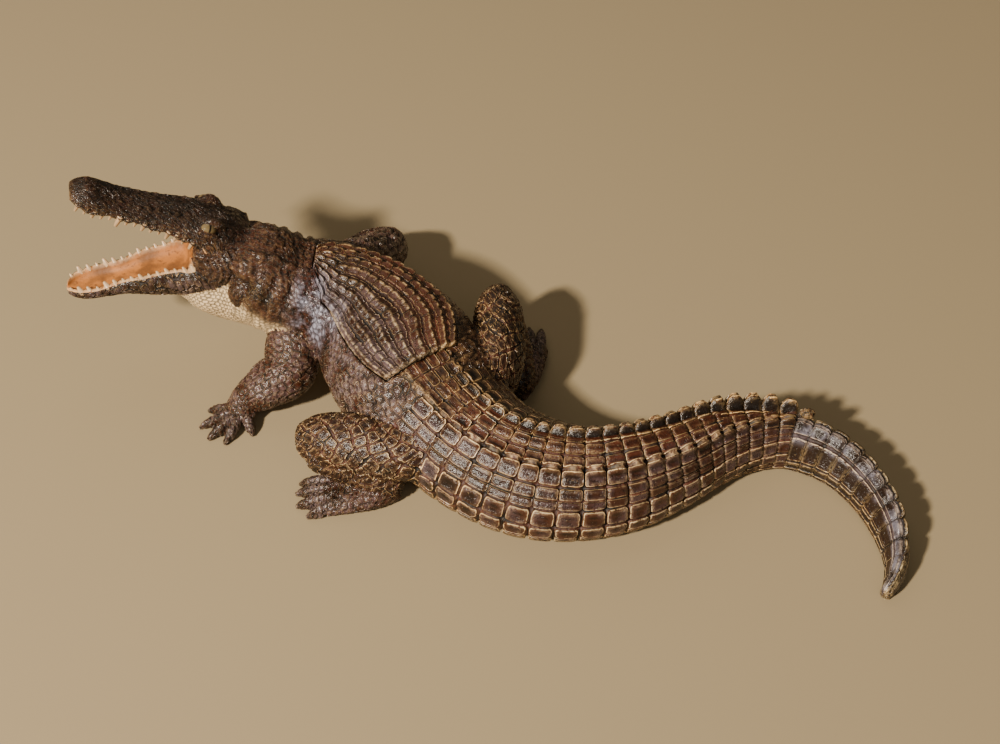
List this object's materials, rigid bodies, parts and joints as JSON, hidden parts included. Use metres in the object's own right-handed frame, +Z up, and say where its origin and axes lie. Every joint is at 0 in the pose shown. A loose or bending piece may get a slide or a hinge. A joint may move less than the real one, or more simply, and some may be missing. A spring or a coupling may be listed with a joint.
{
  "type": "crocodile sculpture",
  "caption": "Painted cast crocodile with open jaws, sprawled legs and curled plated tail; a loose keeled plate closes its hollow back",
  "frame": {"origin": "centre of the bounding box in plan, on the plane the figure stands on", "axes": "+X from the snout towards the tail, +Z up, the side seen in the picture faces -Y"},
  "size_m": [0.275, 0.1547, 0.0812],
  "materials": {
    "hide_paint": "semi-gloss antiqued paint, brown washed with rust, rims dry-brushed gold",
    "plate_paint": "semi-gloss antiqued paint, brown with gold-brushed keels"
  },
  "bodies": {
    "root": {"crocodile_body": "hide_paint", "back_plate": "plate_paint"}
  },
  "joints": []
}
